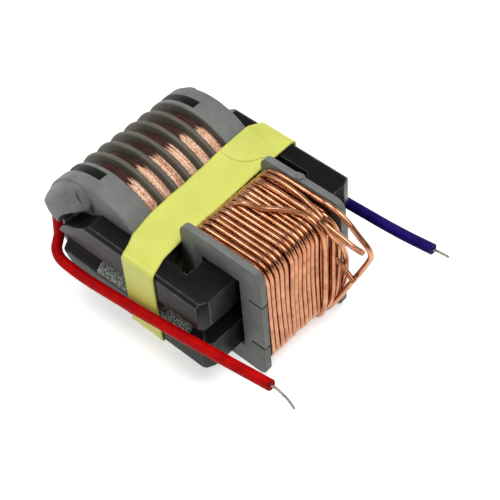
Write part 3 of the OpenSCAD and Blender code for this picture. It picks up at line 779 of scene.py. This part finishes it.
TAIL = [[9, 20, 12.2], [9, 18.2, 14.2], [9, 14, TOP_LAY], [8.8, 9.8, TOP_LAY], [8.2, 6, TOP_LAY],
        [7.7, 2.6, 14.4], [7.5, 0.6, 12.9], [7.7, -3, 11.8], [7.9, -5.3, 10.9], [8, -8.2, 10.7]]
STUB = [[8.6, 0.9, 3.2], [8.7, -0.6, 2.6], [8.7, -2.2, 1.6], [8.5, -4.2, 0.3], [8.4, -5.6, -0.5]]
SLACK_OUTER = [[6.6, 20, 12.2], [6.6, 18.2, 14.2], [6.6, 14, TOP_LAY], [6.6, 8, 15.05], [6.5, 4.5, 15.1],
               [6.6, 1.6, 14.2], [7.4, -0.7, 11], [8.5, -1.9, 8.6], [9.4, -2.2, 5.4], [9.9, -2.2, 2.2],
               [10.1, -1.8, -2.2], [10.2, -0.9, -7], [9.6, 0.5, -11.6], [8.6, 2.6, -14.4], [7.6, 6, -15.1]]
SLACK_MIDDLE = [[8.3, 4.5, 13.6], [8.4, 2.2, 14.1], [8.8, 0.2, 12.4], [9.2, -0.8, 9.4], [9.3, -0.95, 5.4],
                [9.3, -0.9, 0.5], [9.1, -0.7, -4.5], [8.8, -0.3, -9], [8.3, 0.8, -12.4], [7.4, 3.4, -14.7],
                [6.6, 6.5, -15]]
SLACK_INNER = [[8.1, 2.5, 12.9], [8.1, 0.6, 11.8], [8.1, -0.35, 9.6], [8, -0.4, 5], [7.9, -0.4, 0],
               [7.8, -0.4, -6], [7.3, 0.2, -11], [6.6, 2.4, -14.4]]
# Each wire's route and the node it stands for
LOOSE = {"crossing_wire": (CROSS, ["primary_cross_wire"]), "loose_loop": (LOOP, ["primary_loop"]),
         "cut_tail": (TAIL, ["primary_start_tail"]), "cut_stub": (STUB, ["primary_tap_stub"]),
         "slack_turn_outer": (SLACK_OUTER, []), "slack_turn_middle": (SLACK_MIDDLE, []),
         "slack_turn_inner": (SLACK_INNER, [])}


def loose_wire(name, route, metal, replaced):
    """Tube of the wire's diameter on a route measured from the plates' front edge at mid height."""
    path = spline(np.array(route) + [0, PLATE_EDGE, AXIS_Z], steps=8)
    sides = 14
    points = tube(path, WIRE_D / 2, sides)
    return new_piece(name, points, tube_faces(len(path), sides), metal, replaced)


for name, (route, replaced) in LOOSE.items():
    loose_wire(name, route, heavy_wire, replaced)
print("loose wires:", len(LOOSE))

# %% [markdown]
# ## The tape
# A band of yellow polyester film, 8.8 mm wide, is wound round both yokes at a slant. It lies flat on
# the yokes, is pushed up by the flanges on its secondary side, and its last end, cut in a curve, lies
# on top. A simulation could drape it, but it is taut, so its shape is known: a closed loop in X and Z
# that is carried across its width, with an inner and an outer side.

# %% Polyester film
def polyester_tape():
    """Polyester film tape: yellow and smooth, with a soft gloss and faint ripples from winding."""
    material, tree, place = new_material("polyester_tape")
    cloud = add(tree, "TexNoise", {"Vector": place, "Scale": per_mm(9), "Detail": 2.0})
    ripple = add(tree, "TexNoise", {"Vector": place, "Scale": per_mm(3.0), "Detail": 2.0})
    rough = add(tree, "MapRange", {"Value": cloud.outputs["Fac"], "To Min": 0.36, "To Max": 0.5})
    bump = add(tree, "Bump", {"Height": ripple.outputs["Fac"], "Distance": 0.12 * MM, "Strength": 0.35})
    film = add(tree, "BsdfPrincipled", {
        "Base Color": ramp(tree, cloud.outputs["Fac"], [(0.3, "#ccd05a"), (0.7, "#d9dc66")]),
        "Roughness": rough.outputs["Result"], "IOR": 1.5, "Normal": bump.outputs["Normal"]})
    add(tree, "OutputMaterial", {"Surface": film.outputs["BSDF"]})
    return material


film = polyester_tape()
print("film:", film.name)

# %% Loop of the tape
# Edge of the tape towards the primary in Y, its width and thickness, and the gap between it and the core
TAPE_RIGHT = -2.35
TAPE_W = 8.8
TAPE_T = 0.35
TAPE_GAP = 0.06
# The flanges' radius and last face in X, the core's half length, and half height under the tape
FLANGE_R = 15.85
FLANGE_END = 17.65
CORE_HALF = 22.5
HALF_H = 10.2
# Power of the share of the width by which the climb grows, and the tape's rise over the flanges
CLIMB_POWER = 1.2
CLIMB_OVER = 0.15


def tape_shift(x):
    """How far the tape strays to +Y at x: it was wound at a slant, most of all at the near yoke."""
    return np.interp(x, [-CORE_HALF, -18, -11, 0, 9.5, 20], [-2.5, -0.9, -0.1, 0.2, 0.7, 0.95])


def tape_climb(x):
    """Height of the flanges' circle over the core under the tape's far edge, where they push it up."""
    reach = AXIS_Y - (TAPE_RIGHT + tape_shift(x) + TAPE_W)
    return np.sqrt(FLANGE_R ** 2 - reach ** 2) - HALF_H + CLIMB_OVER


def tape_line(gap):
    """Half loop from the middle of the top to the middle of a yoke's face: x, height, climb's share."""
    corner = 0.8
    w = np.linspace(0, np.pi / 2, 9)
    over_flanges = np.linspace(0, FLANGE_END, 24)
    over_yoke = np.linspace(FLANGE_END + 0.6, CORE_HALF - corner - 0.2, 10)
    turn_x = CORE_HALF - corner + (corner + gap) * np.sin(w)
    turn_z = HALF_H - corner + (corner + gap) * np.cos(w)
    down = np.linspace(HALF_H - corner - 0.5, 0, 12)
    x = np.concatenate([over_flanges, over_yoke, turn_x, np.full(len(down), CORE_HALF + gap)])
    z = np.concatenate([np.full(len(over_flanges) + len(over_yoke), HALF_H + gap), turn_z, down])
    climb = np.interp(x, [0, FLANGE_END, CORE_HALF - corner, CORE_HALF + gap], [1, 1, 0.1, 0])
    climb[-len(down):] = 0
    return x, z, climb


def tape_loop(gap):
    """The half loop mirrored in X and in Z to a whole one, as x, z from the middle, and signed climb."""
    x, z, climb = tape_line(gap)
    xs = np.concatenate([x, x[-2::-1], -x[1:], -x[-2:0:-1]])
    zs = np.concatenate([z, -z[-2::-1], -z[1:], z[-2:0:-1]])
    rise = np.concatenate([climb, -climb[-2::-1], -climb[1:], climb[-2:0:-1]])
    return xs, zs, rise


print("loop points:", len(tape_loop(TAPE_GAP)[0]))

# %% Tape band and its last end
# The curved cut as share of the width and X, and the height over the middle where the last end stops
SEAM = [[0, 16.2], [0.2, 14.2], [0.3, 12.2], [0.52, 9.9], [0.85, 9], [1, 9.2]]
END_Z = 3.0
# The last end's gap to the band below and its own thickness
END_GAP = 0.03
END_T = 0.1
# Height of the wave in the band's edge over the flanges, and its turn in radians per millimetre
WAVE = 0.05
WAVE_TURN = 0.9


def tape_band(film):
    """Points x(u), y across the slanted width, z(u) + climb * share ** power, on two sides."""
    across = 17
    share = np.linspace(0, 1, across)[None, :]
    sides = []
    for gap in (TAPE_GAP, TAPE_GAP + TAPE_T):
        xs, zs, rise = (k[:, None] for k in tape_loop(gap))
        wave = WAVE * np.sin(xs * WAVE_TURN + 1.0) * (np.abs(xs) < FLANGE_END)
        y = TAPE_RIGHT + tape_shift(xs) + TAPE_W * share + wave * share
        z = AXIS_Z + zs + rise * tape_climb(xs) * share ** CLIMB_POWER
        sides.append(np.stack(np.broadcast_arrays(xs, y, z), axis=-1))
    points = np.concatenate([sides[1], sides[0][:, ::-1]], axis=1)
    faces = grid_faces(len(points), 2 * across, True, True)[:, ::-1]
    return new_piece("yellow_tape", points, faces.tolist(), film, ["core_tape"])


def tape_end(film):
    """Last layer of the tape: from a curved cut, x(share) by the seam, over the yoke and down its face."""
    rows = 70
    across = 41
    x, z, climb = tape_line(TAPE_GAP + TAPE_T + END_GAP)
    keep = z >= END_Z
    x, z, climb = x[keep], z[keep], climb[keep]
    run = run_along(np.column_stack([x, z]))
    seam = spline(np.array([[share, x_cut, 0] for share, x_cut in SEAM]), steps=8)
    share = np.linspace(0, 1, across)[None, :]
    top = z >= HALF_H
    start = np.interp(np.interp(share, seam[:, 0], seam[:, 1]), x[top], run[top])
    at = start + (run[-1] - start) * np.linspace(0, 1, rows)[:, None]
    x_at = np.interp(at, run, x)
    y = TAPE_RIGHT + tape_shift(x_at) + TAPE_W * share
    rise = np.interp(at, run, climb) * tape_climb(x_at) * share ** CLIMB_POWER
    points = np.stack([x_at, y, AXIS_Z + np.interp(at, run, z) + rise], axis=-1)
    faces = grid_faces(rows, across)[:, ::-1]
    piece = new_piece("yellow_tape_end", points, faces.tolist(), film, ())
    thick = piece.modifiers.new("film", "SOLIDIFY")
    thick.thickness = END_T * MM
    thick.offset = 1
    return piece


tape_band(film)
tape_end(film)
print("tape in mm:", TAPE_W, "wide,", TAPE_T, "thick")

# %% [markdown]
# ## Rough strips in the grooves
# The groove round each yoke holds a rough grey strip, like mineral foam. The grains could be modelled
# one by one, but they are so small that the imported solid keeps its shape, and a material with grains
# and a strong bump does the rest.

# %% Groove strips
def rough_strip():
    """Grey mineral-filled foam: light and dark grains of about a quarter of a millimetre, fully matt."""
    material, tree, place = new_material("rough_strip")
    grain = add(tree, "TexVoronoi", {"Vector": place, "Scale": per_mm(0.22), "Randomness": 1.0})
    shade = add(tree, "TexNoise", {"Vector": place, "Scale": per_mm(0.28), "Detail": 4.0})
    bump = add(tree, "Bump", {"Height": grain.outputs["Distance"], "Distance": 0.3 * MM}, invert=True)
    stops = [(0.38, "#2c302d"), (0.5, "#8a928c"), (0.62, "#dfe4df")]
    body = add(tree, "BsdfPrincipled", {
        "Base Color": ramp(tree, shade.outputs["Fac"], stops), "Roughness": 0.9,
        "Normal": bump.outputs["Normal"]})
    add(tree, "OutputMaterial", {"Surface": body.outputs["BSDF"]})
    return material


grit = rough_strip()
for half in ("near", "far"):
    nodes[f"groove_pad_{half}"].data.materials.clear()
    nodes[f"groove_pad_{half}"].data.materials.append(grit)
print("strips: 2")

# %% [markdown]
# ## Studio
# The photograph is lit softly on pure white. Strong lamps on a white floor would give that too, but
# they would bleach the object. So the floor and the horizon glow white only for rays that the camera
# sees directly or in a mirror or glass, and the light on the object comes from a world that grows
# brighter upwards and to the back, and from three soft lamps: a large one above in front, a smaller one
# behind, and one at the rear left. Close to the object the floor glows less, so that it keeps a soft
# shadow.

# %% Floor
FLOOR_HALF = 3000
FLOOR_Z = -0.02
# Distances in millimetres between which the floor's glow grows to full white, and its strength at the first
GLOW_FROM = 80
GLOW_FULL = 400
GLOW_LEAST = 0.55


def seen_directly(tree):
    """1 for a ray from the camera, from a mirror or through glass, and 0 for a ray of bounced light."""
    ray = add(tree, "LightPath", {}).outputs
    seen = add(tree, "Math", {0: ray["Is Camera Ray"], 1: ray["Is Glossy Ray"]}, operation="MAXIMUM")
    seen = add(tree, "Math", {0: seen.outputs[0], 1: ray["Is Transmission Ray"]}, operation="MAXIMUM")
    return seen.outputs[0]


def white_floor():
    """Matt white board: diffuse for the light it gives back, white glow for rays that see it directly."""
    material, tree, place = new_material("white_board")
    fibre = add(tree, "TexNoise", {"Vector": place, "Scale": per_mm(40), "Detail": 2.0})
    away = add(tree, "VectorMath", {"Vector": place}, operation="LENGTH")
    white = add(tree, "MapRange", {
        "Value": away.outputs["Value"], "From Min": GLOW_FROM * MM, "From Max": GLOW_FULL * MM,
        "To Min": GLOW_LEAST, "To Max": 1.0})
    glow = add(tree, "Math", {0: seen_directly(tree), 1: white.outputs["Result"]}, operation="MULTIPLY")
    board = add(tree, "BsdfPrincipled", {
        "Base Color": ramp(tree, fibre.outputs["Fac"], [(0.3, "#eeeeec"), (0.7, "#f4f4f2")]),
        "Roughness": 0.8, "Emission Color": (1, 1, 1, 1), "Emission Strength": glow.outputs[0]})
    add(tree, "OutputMaterial", {"Surface": board.outputs["BSDF"]})
    return material


corners = [[x * FLOOR_HALF, y * FLOOR_HALF, FLOOR_Z] for x, y in ((-1, -1), (1, -1), (1, 1), (-1, 1))]
floor = new_piece("floor", corners, [[0, 1, 2, 3]], white_floor())
print("floor in mm:", 2 * FLOOR_HALF)

# %% World and lamps
MIDDLE = (0, 0, 15)


def studio_world():
    """Strength 0.04 to 0.34 by y + z of the direction; seen directly, it is white below z = 0.25."""
    world = bpy.data.worlds.new("studio")
    world.use_nodes = True
    sky = world.node_tree
    sky.nodes.clear()
    axes = add(sky, "SeparateXYZ", {"Vector": add(sky, "TexCoord", {}).outputs["Generated"]}).outputs
    rise = add(sky, "Math", {0: axes["Y"], 1: axes["Z"]}, operation="ADD")
    grade = add(sky, "MapRange", {
        "Value": rise.outputs[0], "From Min": -0.4, "From Max": 0.7, "To Min": 0.04, "To Max": 0.34})
    low = add(sky, "MapRange", {
        "Value": axes["Z"], "From Min": 0.25, "From Max": 0.4, "To Min": 1.0, "To Max": 0.0})
    horizon = add(sky, "Math", {0: seen_directly(sky), 1: low.outputs["Result"]}, operation="MULTIPLY")
    strength = add(sky, "Mix", {"Factor": horizon.outputs[0], "A": grade.outputs["Result"], "B": 1.0})
    air = add(sky, "Background", {"Color": (1, 1, 1, 1), "Strength": strength.outputs["Result"]})
    add(sky, "OutputWorld", {"Surface": air.outputs["Background"]})
    return world


def soft_lamp(name, place_mm, size_mm, watts):
    """An area lamp of a width and a height at a place, turned to the middle of the object."""
    lamp = bpy.data.lights.new(name, "AREA")
    lamp.shape = "RECTANGLE"
    lamp.size, lamp.size_y = (side * MM for side in size_mm)
    lamp.energy = watts
    made = bpy.data.objects.new(name, lamp)
    made.location = Vector(place_mm) * MM
    made.rotation_euler = (Vector(MIDDLE) - Vector(place_mm)).to_track_quat("-Z", "Y").to_euler()
    bpy.context.scene.collection.objects.link(made)
    return made


bpy.context.scene.world = studio_world()
soft_lamp("key lamp", (40, -110, 420), (360, 300), watts=1.3)
soft_lamp("back lamp", (-90, 215, 385), (140, 140), watts=0.45)
soft_lamp("side lamp", (-360, 130, 190), (260, 260), watts=0.22)
bpy.context.scene.view_settings.view_transform = "Standard"
print("studio ready, lamps:", len(bpy.data.lights))
